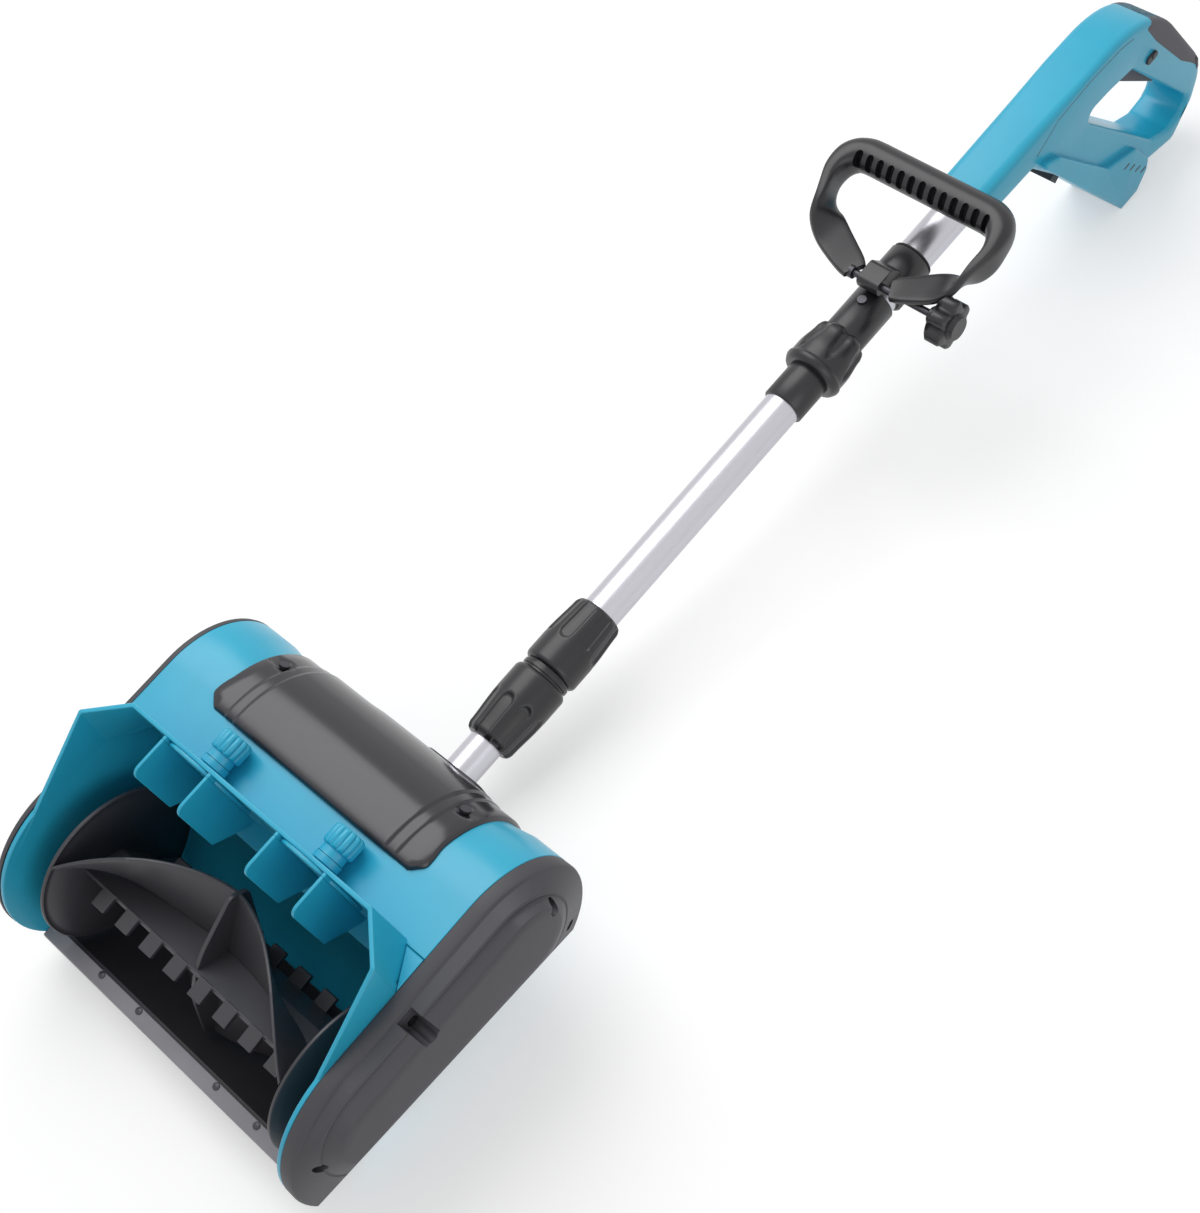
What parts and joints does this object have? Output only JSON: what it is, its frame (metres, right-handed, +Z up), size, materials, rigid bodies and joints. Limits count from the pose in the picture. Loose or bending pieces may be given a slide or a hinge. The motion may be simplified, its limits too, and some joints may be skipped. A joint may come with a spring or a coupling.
{
  "type": "cordless snow thrower",
  "caption": "Hand-held cordless snow thrower: a wide head with a belt-driven paddle rotor and turning deflectors on a telescopic pole, with a D handle and a rear trigger handle.",
  "frame": {"origin": "bottom centre of the bounding box, on the ground, with the tool lying on its back", "axes": "+Z up, the rotor mouth and hood face up; the pole runs to +Y, leaning up a little; +X is the belt-cover side"},
  "size_m": [0.333, 1.1946, 0.2089],
  "materials": {
    "teal": "satin",
    "gloss_black": "gloss",
    "black": "satin",
    "rotor_plastic": "satin",
    "scraper": "satin",
    "tube": "satin",
    "steel": "satin",
    "rubber": "matte",
    "board": "satin"
  },
  "bodies": {
    "head": {"rotor_casing": "teal", "hood": "teal", "lower_tray": "black", "scraper_bar": "scraper", "scraper_screws": "steel", "motor_cover": "gloss_black", "motor_cover_screws": "steel", "belt_cover": "black", "left_side_cover": "black", "side_cover_screws": "steel", "pole_socket": "black", "socket_bolt": "steel", "motor_can": "steel", "drive_belt": "rubber", "left_bearing": "steel", "right_bearing": "steel", "lower_tube": "tube"},
    "motor_armature": {"motor_shaft": "steel", "motor_pulley": "steel"},
    "rotor": {"rotor_pulley": "rotor_plastic", "rotor_shaft": "steel", "rotor_core": "rotor_plastic", "left_end_disc": "rotor_plastic", "right_end_disc": "rotor_plastic", "middle_fin": "rotor_plastic", "front_blade": "rotor_plastic", "rear_blade": "rotor_plastic"},
    "left_deflector_unit": {"left_deflector": "teal", "left_deflector_knob": "teal", "deflector_screws_left": "steel"},
    "right_deflector_unit": {"right_deflector": "teal", "right_deflector_knob": "teal", "deflector_screws_right": "steel"},
    "pole": {"lock_coupler": "black", "middle_tube": "tube", "lower_sleeve": "black", "upper_sleeve": "black", "sleeve_screw": "steel", "upper_tube": "tube", "right_handle_shell": "teal", "left_handle_shell": "teal", "handle_screws": "steel", "grip_overmould": "rubber", "trigger_axle": "steel", "trigger_switch": "black", "control_board": "board", "battery_terminals": "black"},
    "lower_nut": {"lower_lock_nut": "black"},
    "upper_nut": {"upper_lock_nut": "black"},
    "coupling": {"coupling_nut": "black"},
    "clamp_sleeve": {"clamp_liner": "black"},
    "front_clamp": {"clamp_ring": "black", "clamp_bolt": "steel"},
    "front_handle": {"d_handle": "black"},
    "clamp_knob_body": {"clamp_knob": "black"},
    "trigger_body": {"trigger": "black"},
    "lock_off_body": {"lock_off_button": "black"}
  },
  "joints": [
    {"name": "rotor_spin", "type": "hinge", "parent": "head", "child": "rotor", "pos_m": [-0.0135, -0.52032, 0.077], "axis": [1, 0, 0], "continuous": true},
    {"name": "motor_spin", "type": "hinge", "parent": "head", "child": "motor_armature", "pos_m": [-0.0135, -0.39764, 0.10681], "axis": [1, 0, 0], "continuous": true},
    {"name": "left_deflector_turn", "type": "hinge", "parent": "head", "child": "left_deflector_unit", "pos_m": [-0.0695, -0.45159, 0.17648], "axis": [0, 0.9847, 0.1741], "range_deg": [-30, 30]},
    {"name": "right_deflector_turn", "type": "hinge", "parent": "head", "child": "right_deflector_unit", "pos_m": [0.0425, -0.45159, 0.17648], "axis": [0, 0.9847, 0.1741], "range_deg": [-30, 30]},
    {"name": "pole_telescope", "type": "slide", "parent": "head", "child": "pole", "axis": [0, 0.9847, 0.1741], "range_m": [-0.02, 0.12]},
    {"name": "lower_nut_turn", "type": "hinge", "parent": "pole", "child": "lower_nut", "pos_m": [-0.0135, -0.24585, 0.0524], "axis": [0, 0.9847, 0.1741], "range_deg": [0, 90]},
    {"name": "upper_nut_turn", "type": "hinge", "parent": "pole", "child": "upper_nut", "pos_m": [-0.0135, -0.17987, 0.06406], "axis": [0, 0.9847, 0.1741], "range_deg": [-90, 0]},
    {"name": "coupling_nut_turn", "type": "hinge", "parent": "pole", "child": "coupling", "pos_m": [-0.0135, 0.11358, 0.11593], "axis": [0, 0.9847, 0.1741], "range_deg": [0, 120]},
    {"name": "handle_slide", "type": "slide", "parent": "pole", "child": "clamp_sleeve", "axis": [0, 0.9847, 0.1741], "range_m": [-0.002, 0.06]},
    {"name": "handle_turn", "type": "hinge", "parent": "clamp_sleeve", "child": "front_clamp", "pos_m": [-0.0135, 0.20023, 0.13125], "axis": [0, 0.9847, 0.1741], "range_deg": [-45, 45]},
    {"name": "handle_tilt", "type": "hinge", "parent": "front_clamp", "child": "front_handle", "pos_m": [-0.0135, 0.17144, 0.15053], "axis": [1, 0, 0], "range_deg": [-4, 35]},
    {"name": "clamp_knob_turn", "type": "hinge", "parent": "front_clamp", "child": "clamp_knob_body", "pos_m": [0.0505, 0.17144, 0.15053], "axis": [1, 0, 0], "continuous": true},
    {"name": "trigger_pull", "type": "hinge", "parent": "pole", "child": "trigger_body", "pos_m": [-0.0135, 0.54138, 0.0971], "axis": [-1, 0, 0], "range_deg": [0, 6], "stiffness_Nm_per_rad": 0.4, "springref_deg": -11.46},
    {"name": "lock_off_press", "type": "slide", "parent": "pole", "child": "lock_off_body", "axis": [-1, 0, 0], "range_m": [0, 0.0025], "stiffness_N_per_m": 300, "springref_m": -0.003}
  ],
  "couplings": [
    {"joint": "motor_spin", "follows": "rotor_spin", "ratio": 3}
  ]
}
